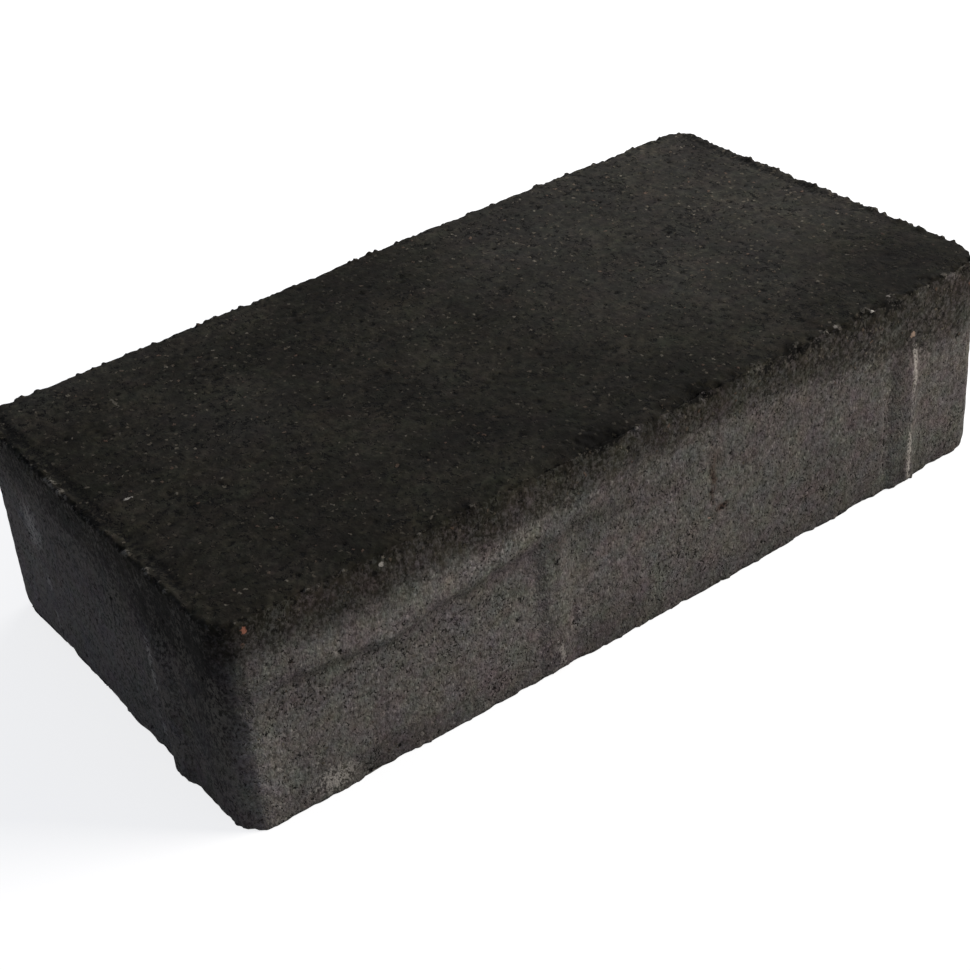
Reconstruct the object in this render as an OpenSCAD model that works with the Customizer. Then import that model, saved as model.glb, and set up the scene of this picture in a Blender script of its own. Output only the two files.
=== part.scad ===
// Rectangular concrete paving stone, pressed as one piece.
// The bed face lies on z = 0 with the wearing face up, and the length runs along X.

/* [Stone] */
// Length of the stone between its end faces
length = 200; // [160:1:300]
// Width of the stone between its long faces
width = 100; // [80:1:150]
// Thickness from the bed face to the wearing face
thickness = 50; // [40:1:100]
// Radius of the four upright corners
corner_radius = 6; // [4:0.5:12]
// Radius of the arris round the wearing face
arris_radius = 1; // [0.5:0.5:3.5]

/* [Spacer nibs] */
// Width of a nib where it leaves the side face
nib_width = 9; // [6:0.5:14]
// How far a nib stands out, which sets the joint
nib_projection = 1.25; // [0.75:0.25:3]
// Depth of the nib's top below the wearing face
nib_setback = 12; // [8:1:20]
// Height over which the nib's top slopes back into the face
nib_lead_in = 6; // [3:0.5:10]
// Spacing of the nibs along a side, the grid the stones are laid on
nib_module = 100; // [60:1:150]
// Offset of a nib to the right of its module's middle, so facing nibs pass each other
nib_offset = 25; // [10:1:30]

/* [Hidden] */
$fn = 96;

// Core of the stone inside its rounded border
core_length = length - 2 * corner_radius;
core_width = width - 2 * corner_radius;

// A nib is a slice of a round post: its radius follows from its width and projection
nib_radius = (nib_width * nib_width / 4 + nib_projection * nib_projection) / (2 * nib_projection);
nib_height = thickness - nib_setback;
nib_straight = nib_height - nib_lead_in;
// The sloping top runs on into the stone by half as much again, so that it closes inside
nib_runout_share = 1.5;
// A side that falls short of a whole module by this share of it still gets that module's nib
nib_short_share = 0.25;

// Upright section of the stone's border, from the core out to the side face
module border_section() {
  translate([corner_radius - arris_radius, thickness - arris_radius]) circle(arris_radius);
  square([corner_radius, thickness - arris_radius]);
  square([corner_radius - arris_radius, thickness]);
}

// Straight border along one side, centred on X and facing -Y
module straight_border(run) {
  rotate([90, 0, -90])
    translate([0, 0, -run / 2])
      linear_extrude(run) border_section();
}

// Quarter-round border at a corner, between the +X and +Y directions
module corner_border() {
  rotate_extrude(angle = 90) border_section();
}

// Stone without its nibs: a core with one border section carried all the way round it
module plain_stone() {
  translate([-core_length / 2, -core_width / 2, 0]) cube([core_length, core_width, thickness]);
  for (half_turn = [0, 180]) rotate(half_turn) {
    translate([0, -core_width / 2, 0]) straight_border(core_length);
    translate([core_length / 2, 0, 0]) rotate(90) straight_border(core_width);
    translate([core_length / 2, core_width / 2, 0]) corner_border();
    translate([-core_length / 2, core_width / 2, 0]) rotate(90) corner_border();
  }
}

// One spacer nib on the face y = 0, standing out towards -Y
module nib() {
  translate([0, nib_radius - nib_projection, 0]) {
    cylinder(h = nib_straight, r = nib_radius);
    translate([0, 0, nib_straight])
      cylinder(h = nib_lead_in * nib_runout_share,
               r1 = nib_radius,
               r2 = nib_radius - nib_projection * nib_runout_share);
  }
}

// The nibs of one side, one to each module, on a face that looks towards -Y
module side_nibs(side_length, face_distance) {
  count = max(1, floor(side_length / nib_module + nib_short_share));
  for (i = [0 : count - 1])
    translate([(i - (count - 1) / 2) * nib_module + nib_offset, -face_distance, 0]) nib();
}

module paving_stone() {
  color([0.16, 0.15, 0.14]) {
    plain_stone();
    for (half_turn = [0, 180]) {
      rotate(half_turn) side_nibs(length, width / 2);
      rotate(half_turn + 90) side_nibs(width, length / 2);
    }
  }
}

paving_stone();
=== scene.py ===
# %% [markdown]
# # A concrete paving stone
# The real stone is one block of stiff, black-pigmented concrete, pressed in a steel mould and pushed out
# at once. Its wearing face is almost black, its sides are dusty grey where the mould dragged along them,
# and every edge is a little crumbly. The exact block comes from the CAD frame. This lesson wears it in:
# first the view, the floor and the light, then the relief of the cast surface, then the concrete itself.

# %% Load the frame
import itertools
import math

import bmesh
import bpy
import numpy as np
from mathutils import Matrix, Vector


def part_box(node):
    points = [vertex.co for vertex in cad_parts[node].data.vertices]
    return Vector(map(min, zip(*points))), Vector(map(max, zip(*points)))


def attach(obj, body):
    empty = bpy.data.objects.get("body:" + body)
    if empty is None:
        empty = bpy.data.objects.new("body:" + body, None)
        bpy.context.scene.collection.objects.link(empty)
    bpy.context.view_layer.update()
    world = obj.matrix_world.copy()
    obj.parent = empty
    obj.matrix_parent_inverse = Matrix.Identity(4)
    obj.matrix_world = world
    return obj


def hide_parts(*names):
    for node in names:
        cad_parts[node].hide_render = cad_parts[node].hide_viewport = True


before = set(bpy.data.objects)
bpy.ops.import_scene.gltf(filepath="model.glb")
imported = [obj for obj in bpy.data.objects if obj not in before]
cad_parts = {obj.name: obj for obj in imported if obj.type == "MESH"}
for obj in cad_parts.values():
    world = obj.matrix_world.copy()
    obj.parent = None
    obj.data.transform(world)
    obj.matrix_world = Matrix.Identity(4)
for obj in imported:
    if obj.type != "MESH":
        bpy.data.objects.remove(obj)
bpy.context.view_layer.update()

MM = 0.001
STONE = "paving_stone"
scene = bpy.context.scene
scene.view_settings.view_transform = "Standard"

# %% [markdown]
# ## The camera
# The photograph looks down on the near left corner. The angles below came from fitting the stone's own
# box to its outline in the picture. A camera can be aimed with a Track To constraint, but that gives no
# roll, so here its three axes are worked out and written straight into its matrix.

# %% Place the camera
PHOTO_PX = 970
FOCAL_PX = 1980
SENSOR_MM = 36
camera_azimuth = math.radians(-33.92)
camera_elevation = math.radians(34.24)
camera_roll = math.radians(-5.21)
camera_distance = 456.2 * MM
camera_slide_right = -5.66 * MM
camera_slide_up = 8.06 * MM

backward = Vector((
    math.sin(camera_azimuth) * math.cos(camera_elevation),
    -math.cos(camera_azimuth) * math.cos(camera_elevation),
    math.sin(camera_elevation),
))
level = Vector((0, 0, 1)).cross(backward).normalized()
upright = backward.cross(level)
camera_right = level * math.cos(camera_roll) + upright * math.sin(camera_roll)
camera_up = upright * math.cos(camera_roll) - level * math.sin(camera_roll)

camera = bpy.data.objects.new("camera", bpy.data.cameras.new("camera"))
camera.data.sensor_width = SENSOR_MM
camera.data.lens = SENSOR_MM * FOCAL_PX / PHOTO_PX
camera.data.clip_start = 10 * MM
eye = backward * camera_distance + camera_right * camera_slide_right + camera_up * camera_slide_up
axes = Matrix((camera_right, camera_up, backward)).transposed()
camera.matrix_world = Matrix.Translation(eye) @ axes.to_4x4()
scene.collection.objects.link(camera)
scene.camera = camera
print("lens of", round(camera.data.lens, 1), "mm, eye at", [round(value / MM) for value in eye], "mm")

# %% [markdown]
# ## Two helpers for every material
# Colours are written as the sRGB hex values that a colour picker shows, but Cycles reckons in linear
# light, so one function turns them over. A second function adds a node: it sets the node's properties and
# fills each input with a plain value or with a link from another node's output.

# %% Helpers for colours and nodes
SRGB_KNEE = 0.04045


def linear(hex_colour):
    """The linear RGBA colour of an sRGB hex value such as "#4a4642"."""
    parts = [int(hex_colour[i:i + 2], 16) / 255 for i in (1, 3, 5)]
    return [p / 12.92 if p <= SRGB_KNEE else ((p + 0.055) / 1.055) ** 2.4 for p in parts] + [1]


def add_node(tree, kind, inputs=None, stops=None, **settings):
    """Add one node with its settings, its colour stops and its inputs, linked or plain."""
    node = tree.nodes.new(kind)
    for name, value in settings.items():
        setattr(node, name, value)
    for index, (position, colour) in enumerate(stops or []):
        element = node.color_ramp.elements[index] if index < 2 else node.color_ramp.elements.new(position)
        element.position = position
        element.color = linear(colour)
    for key, value in (inputs or {}).items():
        if isinstance(value, bpy.types.NodeSocket):
            tree.links.new(value, node.inputs[key])
        else:
            node.inputs[key].default_value = value
    return node


def new_material(name):
    """An empty node material and its tree."""
    material = bpy.data.materials.new(name)
    material.use_nodes = True
    material.node_tree.nodes.clear()
    return material, material.node_tree


print("a mid grey of #808080 is", round(linear("#808080")[0], 3), "in linear light")

# %% [markdown]
# ## The floor
# The stone lies on a plain pale floor, painted board with a flat finish. To the camera the floor has to be
# near white and still hold the stone's shadow, while it must not throw so much light back that the stone's
# dark sides go pale. So the board is a mid grey that takes the shadow, and for the camera, and for rays
# that mirror or pass through, a steady glow is added on top. The board is wide enough that no view shows
# its edge.

# %% Make the floor
FLOOR_SIZE = 60.0
FLOOR_GLOW = 0.78
BOARD_COLOUR = "#a9a8a6"
BOARD_ROUGHNESS = 0.6

floor_mesh = bpy.data.meshes.new("floor")
floor_shape = bmesh.new()
bmesh.ops.create_grid(floor_shape, x_segments=1, y_segments=1, size=FLOOR_SIZE / 2)
floor_shape.to_mesh(floor_mesh)
floor_shape.free()
floor = bpy.data.objects.new("floor", floor_mesh)
scene.collection.objects.link(floor)

matt_board, board_tree = new_material("matt_painted_board")
ray = add_node(board_tree, "ShaderNodeLightPath")
seen = add_node(board_tree, "ShaderNodeMath",
                {0: ray.outputs["Is Camera Ray"], 1: ray.outputs["Is Glossy Ray"]}, operation="MAXIMUM")
seen_at_all = add_node(board_tree, "ShaderNodeMath",
                       {0: seen.outputs[0], 1: ray.outputs["Is Transmission Ray"]}, operation="MAXIMUM")
glow_level = add_node(board_tree, "ShaderNodeMath",
                      {0: seen_at_all.outputs[0], 1: FLOOR_GLOW}, operation="MULTIPLY")
glow = add_node(board_tree, "ShaderNodeEmission", {"Color": linear("#ffffff"),
                                                   "Strength": glow_level.outputs[0]})
paint = add_node(board_tree, "ShaderNodeBsdfDiffuse", {"Color": linear(BOARD_COLOUR),
                                                       "Roughness": BOARD_ROUGHNESS})
board_sum = add_node(board_tree, "ShaderNodeAddShader", {0: paint.outputs[0], 1: glow.outputs[0]})
add_node(board_tree, "ShaderNodeOutputMaterial", {"Surface": board_sum.outputs[0]})
floor_mesh.materials.append(matt_board)
print("floor of", FLOOR_SIZE, "m, with the colour", [round(c, 2) for c in linear(BOARD_COLOUR)[:3]])

# %% [markdown]
# ## The light
# In the photograph the long side is lit from the right, the end is in cool shade, and the top gets lighter
# towards its far corner. A pale blue sky stands for the shade, a warm soft box to the right of the camera
# is the key, and a small one close behind the far corner skims the top. Being so near, it fades quickly
# across the stone. Together they bring a face that looks at the camera to about the brightness that its
# colour is written with.

# %% Set up the lamps and the sky
SKY_COLOUR = "#d7e3ff"
SKY_STRENGTH = 0.36

world = bpy.data.worlds.new("sky")
world.use_nodes = True
world.node_tree.nodes.clear()
sky = add_node(world.node_tree, "ShaderNodeBackground", {"Color": linear(SKY_COLOUR),
                                                         "Strength": SKY_STRENGTH})
add_node(world.node_tree, "ShaderNodeOutputWorld", {"Surface": sky.outputs[0]})
scene.world = world


def add_soft_box(name, azimuth, elevation, distance, size, watts, colour):
    """A square area lamp round the stone, aimed at it. Azimuth 0 is straight in front, 90 to the right."""
    lamp = bpy.data.lights.new(name, "AREA")
    lamp.size = size
    lamp.energy = watts
    lamp.color = linear(colour)[:3]
    box = bpy.data.objects.new(name, lamp)
    around = math.radians(azimuth)
    above = math.radians(elevation)
    direction = Vector((math.sin(around) * math.cos(above), -math.cos(around) * math.cos(above),
                        math.sin(above)))
    box.location = direction * distance
    box.rotation_mode = "QUATERNION"
    box.rotation_quaternion = direction.to_track_quat("Z", "Y")
    scene.collection.objects.link(box)
    print(name, "stands", round(box.location.z, 2), "m above the floor with", watts, "W")


add_soft_box("key_light", azimuth=52, elevation=25, distance=1.0, size=0.45, watts=12.0, colour="#fffaf3")
add_soft_box("far_light", azimuth=125, elevation=35, distance=0.55, size=0.3, watts=1.65, colour="#f8f6f4")

# %% [markdown]
# ## The cast surface
# The CAD block has flat faces and clean edges. Cast concrete is uneven at every scale, and the uneven
# edges show in the outline, so bump shading alone would not do. Sculpting by hand can't be repeated, and a
# Displace modifier moves everything by one texture. Instead a copy of the block is remeshed into an even
# skin of small squares, and each point of it is moved by rules that follow how the stone was made.

# %% Remesh a copy of the block
SKIN_SQUARE = 0.42

skin_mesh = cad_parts[STONE].data.copy()
block = bmesh.new()
block.from_mesh(skin_mesh)
bmesh.ops.remove_doubles(block, verts=block.verts, dist=0.001 * MM)
block.to_mesh(skin_mesh)
block.free()
stone = bpy.data.objects.new("pressed_stone", skin_mesh)
scene.collection.objects.link(stone)


def bake_modifier(piece, kind, **settings):
    """Add a modifier to a piece, set it and keep its result as the piece's own mesh."""
    modifier = piece.modifiers.new(kind, kind)
    for name, value in settings.items():
        setattr(modifier, name, value)
    evaluated = piece.evaluated_get(bpy.context.evaluated_depsgraph_get())
    piece.data = bpy.data.meshes.new_from_object(evaluated)
    piece.modifiers.clear()


bake_modifier(stone, "REMESH", mode="VOXEL", voxel_size=SKIN_SQUARE * MM)
print("skin of", len(stone.data.vertices), "points,", SKIN_SQUARE, "mm apart")

# %% [markdown]
# ## Knowing where a point lies
# Every rule below needs to know where a point sits on the stone: how far under the wearing face, how far in
# from the side faces, and which way it looks. The stone's plain sizes are the frame's box without the
# nibs. From here on the sizes are in millimetres, because that is how a stone is measured.

# %% Measure every point
NIB_PROJECTION = 1.25
CORNER_RADIUS = 6.0

count = len(stone.data.vertices)
points = np.empty(count * 3)
stone.data.vertices.foreach_get("co", points)
points = points.reshape(-1, 3) / MM
normals = np.empty(count * 3)
stone.data.vertices.foreach_get("normal", normals)
normals = normals.reshape(-1, 3)

high = np.array(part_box(STONE)[1]) / MM
half_length = high[0] - NIB_PROJECTION
half_width = high[1] - NIB_PROJECTION
thickness = high[2]


def ease(start, end, values):
    """A smooth ramp from 0 at start to 1 at end."""
    share = np.clip((values - start) / (end - start), 0, 1)
    return share * share * (3 - 2 * share)


def hump(centre, reach, values):
    """A smooth bell, 1 at the centre and near nothing at twice the reach."""
    return np.exp(-((values - centre) / reach) ** 2)


x, y, z = points.T
beyond = np.abs(points[:, :2]) - [half_length - CORNER_RADIUS, half_width - CORNER_RADIUS]
outside = np.linalg.norm(np.maximum(beyond, 0), axis=1)
inset = CORNER_RADIUS - outside - np.minimum(beyond.max(axis=1), 0)
below_face = thickness - z
from_arris = np.maximum(inset, below_face)
from_foot = np.maximum(inset, z)
looks_up = ease(0.5, 0.9, normals[:, 2])
looks_down = ease(0.5, 0.9, -normals[:, 2])
looks_out = 1 - looks_up - looks_down
on_front = ease(8, 3, y + half_width)
on_back = ease(8, 3, half_width - y)
on_left_end = ease(8, 3, x + half_length)
on_right_end = ease(8, 3, half_length - x)
faces_front = np.clip(-normals[:, 1], 0, 1) ** 2
faces_left = np.clip(-normals[:, 0], 0, 1) ** 2
plain_sizes = (2 * half_length, 2 * half_width, thickness)
print("stone without nibs in mm:", [round(size, 1) for size in plain_sizes])

# %% [markdown]
# ## Two kinds of randomness
# Rough surfaces mix two patterns. The first is a smooth random swell, which gives waves and grain. The
# second is a scatter of ragged spots, which gives pits and stuck-on crumbs. Both are worked out from fixed
# random tables, so the stone comes out the same on every run.

# %% Swells and spots
TABLE_SIZE = 1048573
CELL_STEPS = np.array([73856093, 19349663, 83492791])
SEED_STEP = 7919
RAGGEDNESS = 0.45
tables = np.random.default_rng(7).random((4, TABLE_SIZE))


def cell_numbers(cells, seed, table):
    """One fixed random number from 0 to 1 for each whole-numbered cell."""
    return tables[table][(cells @ CELL_STEPS + seed * SEED_STEP) % TABLE_SIZE]


def swell(size, seed, stretch=(1, 1, 1)):
    """Smooth random waves from -1 to 1, about one size across, drawn out along stretched axes."""
    grid = points / (size * np.array(stretch))
    base = np.floor(grid).astype(np.int64)
    blend = grid - base
    blend = blend * blend * (3 - 2 * blend)
    waves = np.zeros(count)
    for corner in itertools.product((0, 1), repeat=3):
        weight = np.prod(np.where(corner, blend, 1 - blend), axis=1)
        waves += weight * cell_numbers(base + corner, seed, 0)
    return 2 * waves - 1


def rough(*layers, stretch=(1, 1, 1)):
    """The sum of several swells, each given as its size, its height and its seed."""
    return sum(height * swell(size, seed, stretch) for size, height, seed in layers)


ragged = 1 + RAGGEDNESS * swell(1.1, seed=8)


def spots(where, spacing, radius, share, seed):
    """Ragged spots of 0 to 1 times where. A share of the cells of this spacing hold one each."""
    near = np.flatnonzero(where > 0.02)
    base = np.floor(points[near] / spacing).astype(np.int64)
    height = np.zeros(len(near))
    for step in itertools.product((-1, 0, 1), repeat=3):
        cells = base + step
        chosen = cell_numbers(cells, seed, 0) < share
        jitter = np.stack([cell_numbers(cells, seed, table) for table in (1, 2, 3)], axis=1)
        reach = radius * (0.5 + 0.5 * jitter[:, 0])
        distance = np.linalg.norm(points[near] - (cells + jitter) * spacing, axis=1)
        distance *= ragged[near] / reach
        height = np.maximum(height, chosen * np.clip(1 - distance * distance, 0, 1))
    spread = np.zeros(count)
    spread[near] = height * where[near]
    return spread


relief = np.zeros(count)
# this mark is painted shade: how much darker each pit, groove, gap or chip is drawn in the material
shade_in_hollows = np.zeros(count)
print("random tables of", TABLE_SIZE, "numbers")

# %% [markdown]
# ## Waves and grain
# Pressed concrete settles unevenly, so its faces wave by a few tenths of a millimetre. On top of that comes
# the sand grain of the mix, one to three millimetres across. The bed face was struck off on a board and
# stays coarser and more open than the rest. The mould is worn as well: the middle of its back wall lets the
# stone bulge.

# %% Add waves and grain
BED_SINK = 0.45
BACK_BULGE = 0.6

relief += rough((46, 0.16, 1), (13, 0.08, 2))
grain = rough((2.6, 0.07, 3), (1.3, 0.07, 4))
relief += grain * (1 - looks_down + 0.4 * looks_up)
bed_texture = rough((7, 0.35, 5), (2.8, 0.20, 6)) - BED_SINK
relief += bed_texture * looks_down
relief += BACK_BULGE * hump(25, 50, x) * on_back * looks_out
print("waves and grain reach", round(np.abs(relief).max(), 2), "mm")

# %% [markdown]
# ## Drag marks
# The stone leaves its mould upwards, so the steel draws fine upright streaks down all four sides. A Wave
# texture would make them too regular. Here they are the same kind of swell, only drawn out along the
# height, and they fade out where the face mix begins.

# %% Add the drag marks
DRAWN_OUT = (1, 1, 12)

drag = rough((1.5, 0.07, 11), (5, 0.07, 12), stretch=DRAWN_OUT)
relief += drag * looks_out * ease(48, 38, z)
print("drag marks reach", round(np.abs(drag).max(), 2), "mm")

# %% [markdown]
# ## The ledge and the worn nib
# On the long side the mould left a low ledge towards one end: above it the face stands out by about a
# millimetre. The nib in the middle has lost almost half of its height, and beside the right one runs a
# thin groove. These are marks of this one stone, so they are made here and the CAD block stays clean.

# %% Add the ledge, the worn nib and the groove
LEDGE_X = (-90, -75, -65, -55, -45, -30, -15)
LEDGE_HEIGHTS = (33.0, 32.0, 30.2, 32.3, 33.0, 34.2, 35.0)
LEDGE_STEP = 1.4
WORN_NIB_X = -25
WORN_NIB_SHARE = 0.4
GROOVE_X = 69.4
GROOVE_DEPTH = 0.2

ledge_line = np.interp(x, LEDGE_X, LEDGE_HEIGHTS) + 0.4 * swell(5, seed=14)
ledge_line += 0.3 * swell(2, seed=15)
above_ledge = z - ledge_line
along_ledge = ease(-99, -80, x) * ease(-3, -16, x) * on_front * looks_out
ledge_fade = np.interp(x, (-38, -20), (1, 0.55))
ledge = ease(-2.0, 1.6, above_ledge) * ease(47, 36, z) * along_ledge * ledge_fade
relief += LEDGE_STEP * ledge
proud = np.clip(-y - half_width, 0, NIB_PROJECTION) * ease(9, 6, np.abs(x - WORN_NIB_X))
relief -= WORN_NIB_SHARE * proud
nib_groove = hump(GROOVE_X, 0.4, x) * ease(4, 8, z) * ease(25, 20, z) * on_front * looks_out
relief -= GROOVE_DEPTH * nib_groove
# painted shade in the groove
shade_in_hollows = np.maximum(shade_in_hollows, 0.55 * nib_groove)
print("ledge covers", int((ledge > 0.5).sum()), "points")

# %% [markdown]
# ## Crumbly edges
# Where the pressing plate met the mould, a little slurry squeezed up and broke off. All round the wearing
# face, single grains stick out or have fallen out, and this is what roughens the outline against the light
# floor. A bevel would leave the edge clean, so the points near it are lifted and sunk by swells and spots.

# %% Crumble the upper edges
EDGE_WEAR = 0.1
CRUMB_HEIGHT = 0.6
LOST_GRAIN_DEPTH = 0.7

edge = hump(0, 1.7, from_arris)
relief += edge * (rough((1.2, 0.20, 20), (2.4, 0.25, 21), (6, 0.18, 22)) - EDGE_WEAR)
crumbs = spots(edge, spacing=1.7, radius=0.95, share=0.5, seed=23)
relief += CRUMB_HEIGHT * crumbs
lost_grains = spots(edge, spacing=2.8, radius=1.4, share=0.4, seed=24)
relief -= LOST_GRAIN_DEPTH * lost_grains
# painted shade where grains are lost
shade_in_hollows = np.maximum(shade_in_hollows, lost_grains)
print("crumbs on", int((crumbs > 0.3).sum()), "points")

# %% [markdown]
# ## The ridge at the ends
# At the two ends the slurry stayed on as a crumbly ridge, right on the edge, with a shallow groove inside
# it. It is weaker at the right end and dies away towards the front corners. The ridge is a hump across the
# edge, broken along its length by lumps and by two sizes of crumb.

# %% Raise the ridge and sink its groove
RIDGE_CRUMB_HEIGHT = 0.75
RIM_GROOVE_DEPTH = 0.4

ends = (on_left_end + 0.7 * on_right_end) * ease(-half_width + 2, -half_width + 28, y)
ridge = ends * hump(0.7, 1.2, inset) * ease(0.1, 0.7, normals[:, 2])
large_crumbs = spots(ridge, spacing=2.9, radius=1.8, share=0.7, seed=25)
small_crumbs = spots(ridge, spacing=1.5, radius=0.9, share=0.5, seed=29)
ridge_crumbs = np.maximum(large_crumbs, 0.7 * small_crumbs)
groove = ends * hump(3.0, 1.6, inset) * looks_up * (0.8 + 0.5 * swell(9, seed=26))
ridge_lumps = swell(3.2, seed=30)
relief += ridge * (0.4 * ridge_lumps + 0.25 * swell(1.2, seed=36))
relief += RIDGE_CRUMB_HEIGHT * ridge_crumbs - RIM_GROOVE_DEPTH * groove
# painted shade in the rim groove and between the ridge lumps
shade_in_hollows = np.maximum.reduce([shade_in_hollows, 0.8 * groove, ridge * ease(-0.15, -0.6, ridge_lumps)])
print("ridge on", int((ridge > 0.3).sum()), "points")

# %% [markdown]
# ## The worn front edge
# Along the front the edge is worn softer, and past the middle it is broken: grains and larger bits are
# gone, and what is left is lumpy. Broken crumbs show paler than the pressed skin, so they are kept for the
# material as rub. The holes and low lumps between them get painted shade, kept in the hollow mark.

# %% Wear and break the front edge
BROKEN_DEPTH = 0.75
GAP_DEPTH = 0.9

worn = hump(0, 3.0, from_arris) * on_front
relief -= worn * (0.55 + 0.45 * swell(7, seed=27))
breaking = hump(0, 2.6, from_arris) * on_front
broken = spots(breaking * ease(-15, 15, x), spacing=2.4, radius=1.5, share=0.6, seed=28)
relief -= BROKEN_DEPTH * broken
gap_zone = hump(0, 2.2, from_arris) * on_front * ease(-20, 5, x)
gaps_in_edge = spots(gap_zone, spacing=6.5, radius=3.2, share=0.45, seed=34)
relief -= GAP_DEPTH * gaps_in_edge
lumpy_front = breaking * ease(-35, 0, x)
front_lumps = swell(3, seed=37)
front_grains = swell(1.5, seed=38)
relief += lumpy_front * (0.45 * front_lumps + 0.35 * front_grains)
sunk_front = lumpy_front * ease(-0.05, -0.5, front_lumps)
# painted shade in the broken bits, the gaps and the sunk lumps
shade_in_hollows = np.maximum.reduce([shade_in_hollows, broken, 0.8 * gaps_in_edge, sunk_front])
pale_front = lumpy_front * ease(0.1, 0.6, front_lumps) * ease(-0.2, 0.4, front_grains)
pale_ridge = ridge_crumbs * ease(-0.3, 0.5, swell(4, seed=35))
rub = np.maximum.reduce([0.6 * crumbs, pale_ridge, 0.6 * pale_front])
print("edges move by", round(relief.min(), 2), "to", round(relief.max(), 2), "mm")

# %% [markdown]
# ## The foot
# The lower edge is straight but ragged: grains are missing from it here and there, and between them a thin
# fringe of mortar stands out. Two larger chips are put where the photograph shows them, and the
# foot is worn at the far half of the left end and at the right end of the front.

# %% Chip the foot
FOOT_CHIPS = ((-72.0, -50.0, 2.6, 0.9), (-100.0, -16.5, 2.6, 1.2))
FOOT_CHIP_DEPTH = 0.5
FRINGE_HEIGHT = 0.35

foot = hump(0, 1.1, from_foot)
chips = ease(0.25, 0.9, swell(5, seed=31)) + 0.6 * ease(0.2, 0.9, swell(2.2, seed=32))
relief -= foot * (0.05 + FOOT_CHIP_DEPTH * chips)
worn_foot = 0.8 * on_left_end * ease(-8, 10, y) + 0.5 * on_front * ease(80, 88, x)
relief -= worn_foot * hump(0, 2.2, from_foot)
fringe = spots(foot, spacing=1.9, radius=1.0, share=0.4, seed=33)
relief += FRINGE_HEIGHT * fringe
# each listed chip is cut in and gets painted shade
for chip_x, chip_y, reach, depth in FOOT_CHIPS:
    chip = hump(0, reach, np.hypot(x - chip_x, y - chip_y)) * hump(0, 1.6, z) * looks_out
    relief -= depth * chip
    shade_in_hollows = np.maximum(shade_in_hollows, 0.6 * chip)
# painted shade in the ragged foot
shade_in_hollows = np.maximum(shade_in_hollows, 0.5 * foot * np.clip(chips, 0, 1))
print("foot chipped over", int((foot * chips > 0.3).sum()), "points")

# %% [markdown]
# ## Pits
# Stiff concrete never fills its mould to the last corner, so small air pits stay open at the surface. They
# are coarse on the bed, and small and shallow on the wearing face and the sides. On the front, a row of
# them follows an upright seam where iron has stained the stone.

# %% Open the pits
SIDE_PIT_DEPTH = 0.35
FACE_PIT_DEPTH = 0.3
BED_PIT_DEPTH = 0.9
SEAM_X = 17.9

seam_x = x + 0.6 * swell(3, seed=56)
seam = hump(SEAM_X, 1.0, seam_x) * ease(16, 20, z) * ease(42, 37, z) * on_front
seam_pits = spots(seam, spacing=1.6, radius=1.0, share=0.8, seed=47)
side_pits = np.maximum(spots(looks_out, spacing=3.4, radius=0.9, share=0.35, seed=41), 1.5 * seam_pits)
small_face_pits = spots(looks_up, spacing=1.9, radius=0.7, share=0.3, seed=46)
large_face_pits = spots(looks_up, spacing=3.4, radius=1.1, share=0.45, seed=42)
face_pits = np.maximum(large_face_pits, 0.7 * small_face_pits)
bed_pits = spots(looks_down, spacing=6.5, radius=2.8, share=0.6, seed=43)
relief -= SIDE_PIT_DEPTH * side_pits + FACE_PIT_DEPTH * face_pits + BED_PIT_DEPTH * bed_pits
# painted shade in the pits
shade_in_hollows = np.maximum.reduce([shade_in_hollows, 0.7 * side_pits, 0.8 * face_pits, bed_pits])
print("pits cover", round(100 * (shade_in_hollows > 0.2).mean(), 1), "% of the skin")

# %% [markdown]
# ## Open grain and hollows
# The two ends were packed less than the long sides, so their grain is more open: rubbed high grains with
# dark gaps between them. No mesh could carry that many, so the gaps are only painted in here, as shade.
# Five larger hollows on the front are put where the photograph shows them, and get painted shade too.

# %% Open the grain of the ends and sink the hollows
HAND_HOLLOWS = (
    ((-9.8, -49.0, 50.0), (5.0, 3.0, 2.4), 1.3),
    ((15.0, -49.0, 50.0), (4.0, 2.6, 2.0), 1.2),
    ((41.0, -50.0, 49.3), (1.9, 1.8, 2.2), 1.4),
    ((76.1, -50.8, 38.4), (0.8, 0.9, 1.0), 0.4),
    ((20.2, -50.0, 19.8), (1.3, 0.9, 0.7), 0.3),
)

end_faces = (on_left_end + on_right_end) * looks_out * normals[:, 0] ** 2
# painted shade in the open grain of the ends
shade_in_hollows = np.maximum(shade_in_hollows, end_faces * (0.2 + 0.14 * swell(3.5, seed=44)))
end_rub = (0.41 + 0.3 * swell(3.5, seed=45)) * (0.75 + 0.25 * ease(44, 34, z))
rub = np.maximum(rub, end_faces * end_rub)
# each listed hollow is sunk and gets painted shade
for centre, reach, depth in HAND_HOLLOWS:
    dent = hump(0, 1, ragged * np.linalg.norm((points - centre) / reach, axis=1))
    relief -= depth * dent
    shade_in_hollows = np.maximum(shade_in_hollows, 1.5 * dent)
print("hollows put by hand:", len(HAND_HOLLOWS))

# %% [markdown]
# ## Where the finish changes
# The material needs to know a few things that only the making of the stone can tell. The black face mix
# covers the top and has run about a centimetre down the sides, thinner as it goes. It went further at the
# right end of the front and near the front of the left end, and along the broken half of the front edge it
# has come off in places. It could be painted as a vertex colour, but numbers worked out for every point
# can be changed later. The material reads them as attributes.

# %% Mark the face mix
RUN_DEPTHS = (0, 2, 4, 8, 10, 12.5)
RUN_SHARES = (1, 0.95, 0.82, 0.72, 0.25, 0)
RUN_DEPTH = 9.5
LEFT_RUN = 6
FULL_FACE = 1.3

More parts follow.
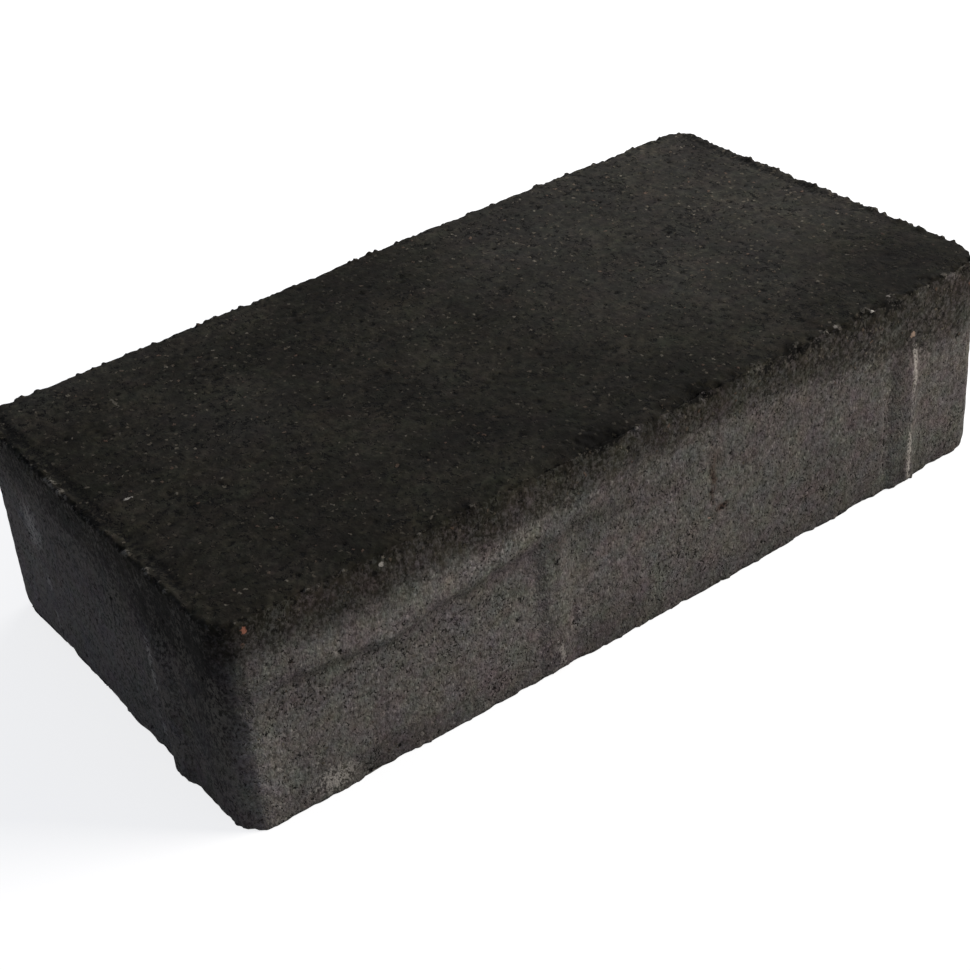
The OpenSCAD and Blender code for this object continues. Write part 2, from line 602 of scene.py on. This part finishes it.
run_depth = RUN_DEPTH + on_front * np.interp(x, (40, 50, 90), (0, 2.5, 7.5))
run_depth += LEFT_RUN * on_left_end * ease(-17, -21, y) * ease(-42, -33, y)
wander = rough((14, 1.2, 51), (4, 0.9, 52), (1.6, 0.6, 53))
face_mix = np.interp((below_face + wander) * RUN_DEPTH / run_depth, RUN_DEPTHS, RUN_SHARES)
face_mix = np.maximum(FULL_FACE * looks_up, face_mix * (1 - looks_down))
bare_edge = spots(breaking * ease(-30, 0, x), spacing=4.5, radius=2.8, share=0.5, seed=59)
face_mix -= 0.8 * bare_edge
print("face mix covers", round(100 * (face_mix > 0.5).mean()), "% of the skin")

# %% [markdown]
# ## Lime, a scuff and iron
# Lime has bloomed along the right flank of a nib, at the foot of the worn one and low at the left of the
# front. The left end was scuffed white and has two thin trails lower down. Iron in the sand has left a
# brown seam with a smear beside it, and a faint stain over the worn nib. A noise would scatter such marks,
# so each is put in its place and only its border is left to chance.

# %% Mark the lime and the scuff
LIME_HEIGHTS = (1, 4, 11, 16, 24, 28, 35, 38)
LIME_SHARES = (0.45, 0.8, 0.75, 0.38, 0.34, 0.85, 0.8, 0)
SCUFF_TRAILS = ((28, 24), (-19, 35))
TRAIL_SHARE = 0.58

lime_shift = swell(9, seed=54)
lime_x = np.interp(z, (0, 38), (76.7, 77.7)) + 0.25 * lime_shift
lime_line = np.interp(z, LIME_HEIGHTS, LIME_SHARES) * hump(0, 1.05, x - lime_x)
foot_lime = 0.7 * hump(-80.5, 6, x) * hump(4, 3.5, z)
worn_flank = 0.6 * hump(-24.6, 0.9, x + 0.4 * lime_shift) * ease(14, 8, z)
lime = on_front * np.maximum.reduce([lime_line, foot_lime, worn_flank]) * looks_out
scuff = 0.8 * hump(30.5, 5.5, y) * hump(31, 7, z) * ease(-1.2, 0.4, swell(3, seed=55))
trail_y = y + 0.8 * swell(6, seed=57)
trail_breaks = ease(-1.0, 0.1, swell(4, seed=58))
for trail_at, trail_top in SCUFF_TRAILS:
    trail = hump(trail_at, 1.1, trail_y) * ease(2, 6, z) * ease(trail_top, trail_top - 6, z)
    scuff = np.maximum(scuff, TRAIL_SHARE * trail * trail_breaks)
scuff = scuff * on_left_end * looks_out
print("lime on", int((lime > 0.3).sum()), "points, scuff on", int((scuff > 0.3).sum()))

# %% Mark the iron
IRON_SMEARS = (
    (SEAM_X, 28.0, 1.1, 9.0, 0.85),
    (20.4, 20.0, 2.4, 1.2, 0.85),
    (-24.0, 32.0, 4.5, 3.0, 0.5),
)

iron = np.zeros(count)
for smear_x, smear_z, reach_x, reach_z, strength in IRON_SMEARS:
    smear = hump(smear_x, reach_x, seam_x) * hump(smear_z, reach_z, z)
    iron = np.maximum(iron, strength * smear * on_front)
print("iron on", int((iron > 0.3).sum()), "points")

# %% [markdown]
# ## Dry and damp
# Concrete dries unevenly, and its dust lies where nothing rubbed it off. Light and shade are painted into
# the same tone. The wearing face is lighter towards the far right, partly dust and partly painted light,
# and the left end is lighter towards the back. The long side gets a painted highlight above the ledge and a
# painted shadow under it, and painted shade along the foot. A large noise would put such patches anywhere,
# so these are set one by one. Each is a soft ellipse with the amount by which it is lighter, or darker
# where the amount is negative.

# %% Mark how dry the wearing face is and paint its light
# the last three patches are painted shade in the hollows of the front edge
FACE_PATCHES = (
    (-80, 47, 35, 8, 0.45), (-15, 32, 14, 10, -0.28), (30, 32, 14, 12, 0.34), (-64, 14, 15, 14, 0.34),
    (46, 14, 12, 8, -0.22), (8, 22, 14, 9, 0.18), (77, 5, 16, 12, 0.32), (-10, -30, 26, 14, -0.36),
    (55, -30, 12, 9, 0.30), (84, -34, 11, 14, -0.40), (68, 44, 14, 6, 0.30), (-58, 4, 9, 6, 0.30),
    (-9.8, -46, 6, 3, -0.50), (15, -46, 5, 3, -0.40), (41, -48, 2.5, 2.5, -0.60),
)
FAR_DUST_AND_LIGHT = 0.56
NEAR_DAMP = 0.2


def patchwork(across, along, patches):
    """The sum of soft patches, each with its centre, its two reaches and how much drier it is."""
    total = np.zeros(count)
    for centre_across, centre_along, reach_across, reach_along, change in patches:
        distance = np.hypot((across - centre_across) / reach_across, (along - centre_along) / reach_along)
        total += change * hump(0, 1, distance)
    return total


# lighter towards the far right: partly dust, partly painted light
top_dust_and_light = FAR_DUST_AND_LIGHT * ease(-5, 45, x) * ease(-42, -8, y) - NEAR_DAMP * ease(20, 80, x) * ease(-15, -40, y)
top_dust_and_light += patchwork(x, y, FACE_PATCHES)
print("patches on the wearing face:", len(FACE_PATCHES))

# %% Mark how dry the left end is and paint its shade
# the third patch is painted shade down the near corner
LEFT_PATCHES = (
    (0, 39, 60, 5, -0.25), (-3, 22, 14, 8, 0.25), (-44, 28, 10, 18, -0.42), (-24, 42, 14, 8, -0.34),
    (36, 26, 7, 8, 0.35), (-50, 13, 4.5, 11, 0.55), (-30, 18, 12, 11, -0.10), (28, 20, 12, 12, 0.08),
)
LEFT_LEVEL = -0.04
BACK_LIGHTENING = 0.4
LOW_DRY = 0.3

# lighter towards the back and low down
left_end_tone_and_shade = LEFT_LEVEL + BACK_LIGHTENING * y / half_width + LOW_DRY * ease(34, 12, z)
left_end_tone_and_shade += patchwork(y, z, LEFT_PATCHES)
print("patches on the left end:", len(LEFT_PATCHES))

# %% Mark how dry the front is and paint its light and shade
FRONT_PATCHES = (
    (-75, 43, 15, 5, -0.20), (-14, 34, 12, 5, -0.28), (-10, 5, 10, 6, -0.20), (-30, 19, 30, 7, 0.10),
    (85, 12, 12, 10, 0.15), (40, 33, 45, 4, -0.12), (-80, 40, 20, 3, -0.15), (65, 40, 5, 4, 0.35),
    (82, 44, 14, 5, 0.20), (-70, 4, 14, 4, -0.30), (50, 18, 14, 12, -0.10), (-78, 15, 14, 9, -0.07),
)

# painted light on the left flank of the right nib, painted shadow beside its right flank
painted_flank_light = 0.25 * hump(71, 2, x) * ease(32, 27, z)
painted_nib_shadow = 0.2 * hump(74.8, 1.6, x) * ease(40, 35, z)
front_tone_and_light = painted_flank_light - painted_nib_shadow
# painted highlight above the ledge and painted shadow under it, weaker towards the right
ledge_paint_share = 0.3 + 0.7 * ease(-26, -31, x)
painted_ledge_light_and_shadow = 0.34 * hump(4, 3, above_ledge) - 0.24 * hump(-0.8, 1.7, above_ledge)
front_tone_and_light += along_ledge * ledge_paint_share * painted_ledge_light_and_shadow
# painted shade along the foot; low down the front also darkens from left to right
painted_foot_shade = 0.2 * ease(10, 2, z)
darker_right = 0.2 * x / half_length * ease(30, 15, z)
front_tone_and_light -= painted_foot_shade + darker_right
# lighter low at the near corner
lighter_corner = 0.4 * ease(-88, -95, x) * ease(30, 20, z)
front_tone_and_light += lighter_corner + patchwork(x, z, FRONT_PATCHES)
# the tone scales the colour: dryness and dust, with painted light and shade
tone_and_painted_light = 1 + looks_up * top_dust_and_light + looks_out * (faces_left * left_end_tone_and_shade + faces_front * front_tone_and_light)
print("tone runs from", round(tone_and_painted_light.min(), 2), "to", round(tone_and_painted_light.max(), 2))

# %% [markdown]
# ## Shape the skin
# Now every point moves along its own normal by the sum of all those rules. The right end is not quite
# square either: towards the back it falls short by up to 2.5 mm. Nothing may sink under the floor.
# The even skin has more triangles than a library part should carry, so a Decimate modifier then folds away
# the ones that matter least, which keeps the edges and pits.

# %% Move the points and thin the mesh
TRIANGLES = 196000
SHORT_END = 2.5


def count_triangles(mesh):
    """How many triangles a mesh has once its larger faces are split."""
    return sum(len(face.vertices) - 2 for face in mesh.polygons)


shaped = points + normals * relief[:, None]
shaped[:, 0] -= SHORT_END * ease(70, half_length, x) * np.interp(y, (-35, half_width), (0, 1))
shaped[:, 2] = np.maximum(shaped[:, 2], 0)
stone.data.vertices.foreach_set("co", (shaped * MM).ravel())
# the marks for the material, painted shade and light among them
finishes_and_painted_light = {"face_mix": face_mix, "shade_in_hollows": shade_in_hollows, "rub": rub, "lime": lime,
            "scuff": scuff, "iron": iron, "tone_and_painted_light": tone_and_painted_light}
for name, values in finishes_and_painted_light.items():
    attribute = stone.data.attributes.new(name, "FLOAT", "POINT")
    attribute.data.foreach_set("value", values)
skin_triangles = count_triangles(stone.data)
bake_modifier(stone, "DECIMATE", ratio=TRIANGLES / skin_triangles)
stone.data.shade_smooth()
print("mesh thinned from", skin_triangles, "to", count_triangles(stone.data), "triangles")

# %% [markdown]
# ## Anthracite concrete, pressed
# Pigmented mortar is a matt dielectric: cement paste has an index of refraction near 1.5, and its open
# grain scatters nearly all of the sheen. What the eye reads is therefore not gloss but speckle: black
# paste, paler sand, and tiny shadows. The sides carry a film of dry cement dust, the face mix is closer and
# darker. A painted image could hold all this, but only for one size and one unwrapping. Noise and cells
# need neither. Each pattern's scale is one over its real size, because the object's coordinates are in
# metres.

# %% Start the concrete with the grain of the sides
GRAIN_MM = 0.95
GRAIN_STRETCH = 1.3
SAND_MM = 0.5
DRAG_MM = 1.3
DRAG_STRETCH = 8
PATCH_MM = 17

concrete, tree = new_material("anthracite_pressed_concrete")
place = add_node(tree, "ShaderNodeTexCoord").outputs["Object"]
grain_place = add_node(tree, "ShaderNodeMapping", {"Vector": place, "Scale": (1, 1, 1 / GRAIN_STRETCH)})
drag_place = add_node(tree, "ShaderNodeMapping", {"Vector": place, "Scale": (1, 1, 1 / DRAG_STRETCH)})
side_grain = add_node(tree, "ShaderNodeTexNoise", {
    "Vector": grain_place.outputs[0], "Scale": 1 / (GRAIN_MM * MM), "Detail": 2, "Roughness": 0.95})
sand_cells = add_node(tree, "ShaderNodeTexVoronoi", {
    "Vector": grain_place.outputs[0], "Scale": 1 / (SAND_MM * MM)})
sand_draw = add_node(tree, "ShaderNodeSeparateColor", {"Color": sand_cells.outputs["Color"]})
drag_lines = add_node(tree, "ShaderNodeTexNoise", {
    "Vector": drag_place.outputs[0], "Scale": 1 / (DRAG_MM * MM), "Detail": 2, "Roughness": 0.6})
patches = add_node(tree, "ShaderNodeTexNoise", {
    "Vector": place, "Scale": 1 / (PATCH_MM * MM), "Detail": 3, "Roughness": 0.6})
print("side grain of", GRAIN_MM, "mm and finer, streaks", DRAG_MM * DRAG_STRETCH, "mm long")

# %% Colour the sides
PATTERN_SHARE = 0.14
FINE_SAND_FROM = 0.88
FINE_SAND_SHARE = 0.5
FINE_SAND_COLOUR = "#7c7771"

sandy = add_node(tree, "ShaderNodeMix", {
    0: PATTERN_SHARE, 2: side_grain.outputs["Fac"], 3: sand_draw.outputs[0]})
streaked = add_node(tree, "ShaderNodeMix", {
    0: PATTERN_SHARE, 2: sandy.outputs[0], 3: drag_lines.outputs["Fac"]})
side_tone = add_node(tree, "ShaderNodeMix", {
    0: PATTERN_SHARE, 2: streaked.outputs[0], 3: patches.outputs["Fac"]})
side_colour = add_node(tree, "ShaderNodeValToRGB", {"Fac": side_tone.outputs[0]}, stops=[
    (0.33, "#363330"), (0.43, "#494541"), (0.5, "#524e4a"), (0.58, "#595551"), (0.72, "#6a6661")])
fine_sand = add_node(tree, "ShaderNodeMapRange", {
    "Value": sand_draw.outputs[1], "From Min": FINE_SAND_FROM, "From Max": 1, "To Max": FINE_SAND_SHARE})
sandy_side = add_node(tree, "ShaderNodeMix", {
    0: fine_sand.outputs[0], 6: side_colour.outputs[0], 7: linear(FINE_SAND_COLOUR)}, data_type="RGBA")
print("pale fine sand in", round(100 * (1 - FINE_SAND_FROM)), "% of the cells")

# %% [markdown]
# ## The face mix
# The wearing face is a thin layer of finer, blacker mortar that the plate has pressed flat. The box that
# feeds it sweeps across the stone, so its grain is drawn out a little that way. The paste itself is even,
# and what shows is single grains and crevices, which come later. A second material with its own faces would
# give the layer a hard border. The real one wanders with the grain, so the attribute is nudged by the grain
# before it chooses between the two colours.

# %% Add the face mix
FACE_GRAIN_MM = 2.0
FACE_PATCH_MM = 24
FACE_PATCH_SHARE = 0.4
FEED_STRETCH = 1.2
NUDGE = 0.2

face_place = add_node(tree, "ShaderNodeMapping", {"Vector": place, "Scale": (1, 1 / FEED_STRETCH, 1)})
face_grain = add_node(tree, "ShaderNodeTexNoise", {
    "Vector": face_place.outputs[0], "Scale": 1 / (FACE_GRAIN_MM * MM), "Detail": 3, "Roughness": 0.75})
face_patch = add_node(tree, "ShaderNodeTexNoise", {
    "Vector": place, "Scale": 1 / (FACE_PATCH_MM * MM), "Detail": 3, "Roughness": 0.6})
face_tone = add_node(tree, "ShaderNodeMix", {
    0: FACE_PATCH_SHARE, 2: face_grain.outputs["Fac"], 3: face_patch.outputs["Fac"]})
face_colour = add_node(tree, "ShaderNodeValToRGB", {"Fac": face_tone.outputs[0]}, stops=[
    (0.37, "#12100b"), (0.5, "#1d1b15"), (0.63, "#2d2a22")])
border = add_node(tree, "ShaderNodeAttribute", attribute_name="face_mix")
nudge = add_node(tree, "ShaderNodeMapRange", {
    "Value": sandy.outputs[0], "From Min": 0.4, "From Max": 0.6, "To Min": NUDGE, "To Max": -NUDGE})
face_share = add_node(tree, "ShaderNodeMath", {
    0: border.outputs["Fac"], 1: nudge.outputs[0]}, operation="ADD", use_clamp=True)
surface = add_node(tree, "ShaderNodeMix", {
    0: face_share.outputs[0], 6: sandy_side.outputs[2], 7: face_colour.outputs[0]}, data_type="RGBA")
print("face mix grain of", FACE_GRAIN_MM, "mm")

# %% [markdown]
# ## Hue, dryness and painted light
# Pigment never mixes in fully, so neighbouring grains lean a little to red, green or blue. A noise with
# three separate channels in a soft light mix gives that, because mid grey leaves the colour under it alone.
# Then the tone from the mesh makes dry places lighter and paints in light and shade, and on the black face
# the lighter places turn a cooler grey, partly a film of dust and partly painted light.

# %% Vary the hue and the tone
TINT_MM = 7.0
TINT_SHARE = 0.26
DUST_AND_LIGHT_TONE = 1.6
DUST_AND_LIGHT_SHARE = 0.13
DUST_AND_LIGHT_COLOUR = "#3a3a3d"

tint = add_node(tree, "ShaderNodeTexNoise", {
    "Vector": place, "Scale": 1 / (TINT_MM * MM), "Detail": 5, "Roughness": 0.75})
tinted = add_node(tree, "ShaderNodeMix", {
    0: TINT_SHARE, 6: surface.outputs[2], 7: tint.outputs["Color"]},
    data_type="RGBA", blend_type="SOFT_LIGHT")
dryness_and_painted_light = add_node(tree, "ShaderNodeAttribute", attribute_name="tone_and_painted_light")
toned = add_node(tree, "ShaderNodeVectorMath", {
    0: tinted.outputs[2], "Scale": dryness_and_painted_light.outputs["Fac"]}, operation="SCALE")
# the cooler grey on lighter parts of the face: partly dust, partly painted light
dust_and_light = add_node(tree, "ShaderNodeMapRange", {
    "Value": dryness_and_painted_light.outputs["Fac"], "From Min": 1, "From Max": DUST_AND_LIGHT_TONE, "To Max": DUST_AND_LIGHT_SHARE})
face_share_of_dust_and_light = add_node(tree, "ShaderNodeMath", {
    0: dust_and_light.outputs[0], 1: face_share.outputs[0]}, operation="MULTIPLY")
dusted_and_lit = add_node(tree, "ShaderNodeMix", {
    0: face_share_of_dust_and_light.outputs[0], 6: toned.outputs[0], 7: linear(DUST_AND_LIGHT_COLOUR)}, data_type="RGBA")
print("tints change every", TINT_MM, "mm and less")

# %% [markdown]
# ## Pinholes and crevices
# Between the pits that are cut into the mesh lie thousands of pinholes under a millimetre wide, and on the
# wearing face crevices between the grains, too many to model. Both are where a fine noise dips low, and the
# broad patches move that level up and down, because some parts of a stone are packed less than others. The
# shade inside them is painted in as a dark colour, and so is the shade in the pits marked on the mesh and
# in the low grains round them.

# %% Open pinholes and crevices
SIDE_PINHOLE_MM = 0.62
FACE_CREVICE_MM = 1.3
POROSITY = -0.28
PINHOLE_RIM = 0.268
PINHOLE_CORE = 0.188
CREVICE_RIM = 0.28
CREVICE_CORE = 0.225

pinhole_noise = add_node(tree, "ShaderNodeTexNoise", {
    "Vector": grain_place.outputs[0], "Scale": 1 / (SIDE_PINHOLE_MM * MM), "Detail": 2, "Roughness": 0.7})
porous = add_node(tree, "ShaderNodeMath", {
    0: patches.outputs["Fac"], 1: POROSITY, 2: pinhole_noise.outputs["Fac"]}, operation="MULTIPLY_ADD")
pinholes = add_node(tree, "ShaderNodeMapRange", {
    "Value": porous.outputs[0], "From Min": PINHOLE_RIM, "From Max": PINHOLE_CORE})
crevice_noise = add_node(tree, "ShaderNodeTexNoise", {
    "Vector": face_place.outputs[0], "Scale": 1 / (FACE_CREVICE_MM * MM), "Detail": 3, "Roughness": 0.75})
clustered = add_node(tree, "ShaderNodeMath", {
    0: patches.outputs["Fac"], 1: POROSITY, 2: crevice_noise.outputs["Fac"]}, operation="MULTIPLY_ADD")
crevices = add_node(tree, "ShaderNodeMapRange", {
    "Value": clustered.outputs[0], "From Min": CREVICE_RIM, "From Max": CREVICE_CORE})
openings = add_node(tree, "ShaderNodeMix", {
    0: face_share.outputs[0], 2: pinholes.outputs[0], 3: crevices.outputs[0]})
print("pinholes of", SIDE_PINHOLE_MM, "mm and crevices of", FACE_CREVICE_MM, "mm")

# %% Paint shade into the openings and the pits
LOW_GRAIN = 0.35
HIGH_GRAIN = 0.65
GRAIN_GAIN = 2
CUT_FROM = 0.3
CUT_FULL = 0.6
SHADOW_SHARE = 0.92
SHADOW_COLOUR = "#0b0a08"

hollow_shade_mark = add_node(tree, "ShaderNodeAttribute", attribute_name="shade_in_hollows")
low_grains = add_node(tree, "ShaderNodeMapRange", {
    "Value": side_grain.outputs["Fac"], "From Min": HIGH_GRAIN, "From Max": LOW_GRAIN,
    "To Max": GRAIN_GAIN})
shade_in_open_grain = add_node(tree, "ShaderNodeMath", {
    0: hollow_shade_mark.outputs["Fac"], 1: low_grains.outputs[0]}, operation="MULTIPLY")
pit_share = add_node(tree, "ShaderNodeMapRange", {
    "Value": shade_in_open_grain.outputs[0], "From Min": CUT_FROM, "From Max": CUT_FULL})
dark_share = add_node(tree, "ShaderNodeMath", {
    0: openings.outputs[0], 1: pit_share.outputs[0]}, operation="MAXIMUM")
shadowed = add_node(tree, "ShaderNodeMath", {
    0: dark_share.outputs[0], 1: SHADOW_SHARE}, operation="MULTIPLY")
holed = add_node(tree, "ShaderNodeMix", {
    0: shadowed.outputs[0], 6: dusted_and_lit.outputs[2], 7: linear(SHADOW_COLOUR)}, data_type="RGBA")
print("openings are darkened by", round(100 * SHADOW_SHARE), "%")

# %% [markdown]
# ## Pale sand
# Here and there a grain of pale sand shows through the paste: the middle of a Voronoi cell, if the cell's
# random colour chooses it. Its coordinates are shaken by a noise and its size is drawn too, so that no
# grain comes out as a round dot. Sand takes the same tone as the paste, painted light and shade included.
# It can only lighten the paste, which the mix does by its blend type.

# %% Scatter the pale sand
PALE_SAND_MM = 1.2
SHAKE_GRAIN_MM = 0.8
SHAKE_MM = 1.6
PALE_FROM = 0.55
PALE_SPREAD = 0.25
PALE_RIM = 0.4
PALE_CORE = 0.28
PALE_SHARE = 0.9

shake = add_node(tree, "ShaderNodeTexNoise", {
    "Vector": place, "Scale": 1 / (SHAKE_GRAIN_MM * MM), "Detail": 2, "Roughness": 0.6})
shaken = add_node(tree, "ShaderNodeVectorMath", {
    0: shake.outputs["Color"], 1: (SHAKE_MM * MM,) * 3, 2: place}, operation="MULTIPLY_ADD")
shaken_feed = add_node(tree, "ShaderNodeMapping", {
    "Vector": shaken.outputs[0], "Scale": (1, 1 / FEED_STRETCH, 1)})
pale_cells = add_node(tree, "ShaderNodeTexVoronoi", {
    "Vector": shaken_feed.outputs[0], "Scale": 1 / (PALE_SAND_MM * MM)})
pale_draw = add_node(tree, "ShaderNodeSeparateColor", {"Color": pale_cells.outputs["Color"]})
chosen = add_node(tree, "ShaderNodeMath", {
    0: pale_draw.outputs[0], 1: PALE_FROM}, operation="GREATER_THAN")
pale_size = add_node(tree, "ShaderNodeMath", {
    0: pale_draw.outputs[2], 1: PALE_SPREAD, 2: pale_cells.outputs["Distance"]}, operation="MULTIPLY_ADD")
pale_grain = add_node(tree, "ShaderNodeMapRange", {
    "Value": pale_size.outputs[0], "From Min": PALE_RIM, "From Max": PALE_CORE, "To Max": PALE_SHARE})
pale_share = add_node(tree, "ShaderNodeMath", {
    0: chosen.outputs[0], 1: pale_grain.outputs[0]}, operation="MULTIPLY")
print("pale sand in", round(100 * (1 - PALE_FROM)), "% of the cells")

# %% Colour the pale sand
pale_colour = add_node(tree, "ShaderNodeValToRGB", {"Fac": pale_draw.outputs[1]}, stops=[
    (0.0, "#29261f"), (0.5, "#353129"), (0.8, "#423d34"),
    (0.86, "#49392f"), (0.9, "#4a453b"), (1.0, "#5a554b")])
toned_sand = add_node(tree, "ShaderNodeVectorMath", {
    0: pale_colour.outputs[0], "Scale": dryness_and_painted_light.outputs["Fac"]}, operation="SCALE")
sanded = add_node(tree, "ShaderNodeMix", {
    0: pale_share.outputs[0], 6: holed.outputs[2], 7: toned_sand.outputs[0]},
    data_type="RGBA", blend_type="LIGHTEN")
print("pale sand in", len(pale_colour.color_ramp.elements), "colours")

# %% [markdown]
# ## Crumbs, lime, scuff and iron
# Broken crumbs are a paler grey, lime is a chalky film, the scuff is crushed grain and whiter still, and
# iron is a brown stain. None has a soft border: they sit on the high grains and miss the low ones. So each
# mark from the mesh is multiplied by the grain and then cut at a fixed level, one layer after the other,
# and the mark itself says how dense the layer is.

# %% Lay the marks over the concrete
LAYERS = (("rub", "#6a655c"), ("lime", "#958f87"), ("scuff", "#a39e95"), ("iron", "#3d3029"))

high_grains = add_node(tree, "ShaderNodeMapRange", {
    "Value": side_grain.outputs["Fac"], "From Min": LOW_GRAIN, "From Max": HIGH_GRAIN,
    "To Max": GRAIN_GAIN})
layered = sanded.outputs[2]
for name, colour in LAYERS:
    mark = add_node(tree, "ShaderNodeAttribute", attribute_name=name)
    broken_up = add_node(tree, "ShaderNodeMath", {
        0: mark.outputs["Fac"], 1: high_grains.outputs[0]}, operation="MULTIPLY")
    share = add_node(tree, "ShaderNodeMapRange", {
        "Value": broken_up.outputs[0], "From Min": CUT_FROM, "From Max": CUT_FULL,
        "To Max": mark.outputs["Fac"]})
    layer = add_node(tree, "ShaderNodeMix", {
        0: share.outputs[0], 6: layered, 7: linear(colour)}, data_type="RGBA")
    layered = layer.outputs[2]
print("layers read from the mesh:", [name for name, colour in LAYERS])

# %% [markdown]
# ## Single grains
# A few grains are large enough to be seen one by one: white quartz along the front edge and in the face,
# one red stone at the near corner, and two tan ones, over the right nib and beside the iron seam. A pale
# scratch on the face is made the same way, as a very long grain. Each is an ellipsoid in the shaken
# coordinates, seated on the point of the skin that is nearest to it.

# %% Set the single grains
GRAINS = (
    ((54.0, -49.0, 50.0), (0.5, 0.4, 0.5), "#6c6760"),
    ((64.0, -49.6, 49.8), (0.5, 0.5, 0.6), "#98938a"),
    ((71.0, -47.6, 50.0), (0.5, 0.4, 0.5), "#6c6760"),
    ((-64.0, -50.0, 47.4), (0.6, 0.6, 0.5), "#7e7a72"),
    ((-90.3, -1.4, 50.0), (1.0, 0.3, 0.6), "#868178"),
    ((-75.5, 32.5, 50.0), (0.3, 2.4, 0.6), "#4a463d"),
    ((-93.8, -49.8, 47.5), (0.7, 0.7, 0.7), "#7a5040"),
    ((16.4, -50.0, 18.6), (0.4, 0.5, 0.4), "#75645a"),
    ((77.0, -50.4, 39.0), (0.7, 0.8, 0.8), "#857263"),
)
GRAIN_RIM = 1.1
GRAIN_CORE = 0.8

shake_middle = np.full(3, SHAKE_MM / 2)
for centre, reach, colour in GRAINS:
    seat = shaped[np.argmin(np.linalg.norm(points - centre, axis=1))] + shake_middle
    offset = add_node(tree, "ShaderNodeVectorMath", {
        0: shaken.outputs[0], 1: seat * MM}, operation="SUBTRACT")
    ellipsoid = add_node(tree, "ShaderNodeVectorMath", {
        0: offset.outputs[0], 1: np.array(reach) * MM}, operation="DIVIDE")
    radius = add_node(tree, "ShaderNodeVectorMath", {0: ellipsoid.outputs[0]}, operation="LENGTH")
    share = add_node(tree, "ShaderNodeMapRange", {
        "Value": radius.outputs["Value"], "From Min": GRAIN_RIM, "From Max": GRAIN_CORE})
    layer = add_node(tree, "ShaderNodeMix", {
        0: share.outputs[0], 6: layered, 7: linear(colour)}, data_type="RGBA")
    layered = layer.outputs[2]
print("single grains:", len(GRAINS))

# %% [markdown]
# ## Bump and shader
# Relief finer than the mesh is left to bump: the paste's grain, the domes of the sand and the pinholes, a
# few tenths of a millimetre deep. The shader itself is plain: no metal, the index of cement paste, a high
# roughness and only a little of the usual specular level, because open pores swallow it.

# %% Finish the concrete
BUMP_DEPTH_MM = 0.3
BUMP_STRENGTH = 0.8
DOME_FALL = -0.5
PALE_RISE = 0.6
HOLE_SINK = -0.8
CEMENT_IOR = 1.5
CEMENT_ROUGHNESS = 0.9
PORE_SPECULAR = 0.08

domes = add_node(tree, "ShaderNodeMath", {
    0: sand_cells.outputs["Distance"], 1: DOME_FALL, 2: side_grain.outputs["Fac"]},
    operation="MULTIPLY_ADD")
grain_height = add_node(tree, "ShaderNodeMix", {
    0: face_share.outputs[0], 2: domes.outputs[0], 3: face_grain.outputs["Fac"]})
raised = add_node(tree, "ShaderNodeMath", {
    0: pale_share.outputs[0], 1: PALE_RISE, 2: grain_height.outputs[0]}, operation="MULTIPLY_ADD")
fine_height = add_node(tree, "ShaderNodeMath", {
    0: openings.outputs[0], 1: HOLE_SINK, 2: raised.outputs[0]}, operation="MULTIPLY_ADD")
bump = add_node(tree, "ShaderNodeBump", {
    "Height": fine_height.outputs[0], "Strength": BUMP_STRENGTH, "Distance": BUMP_DEPTH_MM * MM})
shader = add_node(tree, "ShaderNodeBsdfPrincipled", {
    "Base Color": layered, "Normal": bump.outputs[0], "Roughness": CEMENT_ROUGHNESS, "IOR": CEMENT_IOR,
    "Specular IOR Level": PORE_SPECULAR})
add_node(tree, "ShaderNodeOutputMaterial", {"Surface": shader.outputs[0]})
stone.data.materials.clear()
stone.data.materials.append(concrete)
print("concrete of", len(tree.nodes), "nodes")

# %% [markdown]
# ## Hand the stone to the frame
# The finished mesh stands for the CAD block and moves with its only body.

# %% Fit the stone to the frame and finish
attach(stone, "root")
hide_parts(STONE)
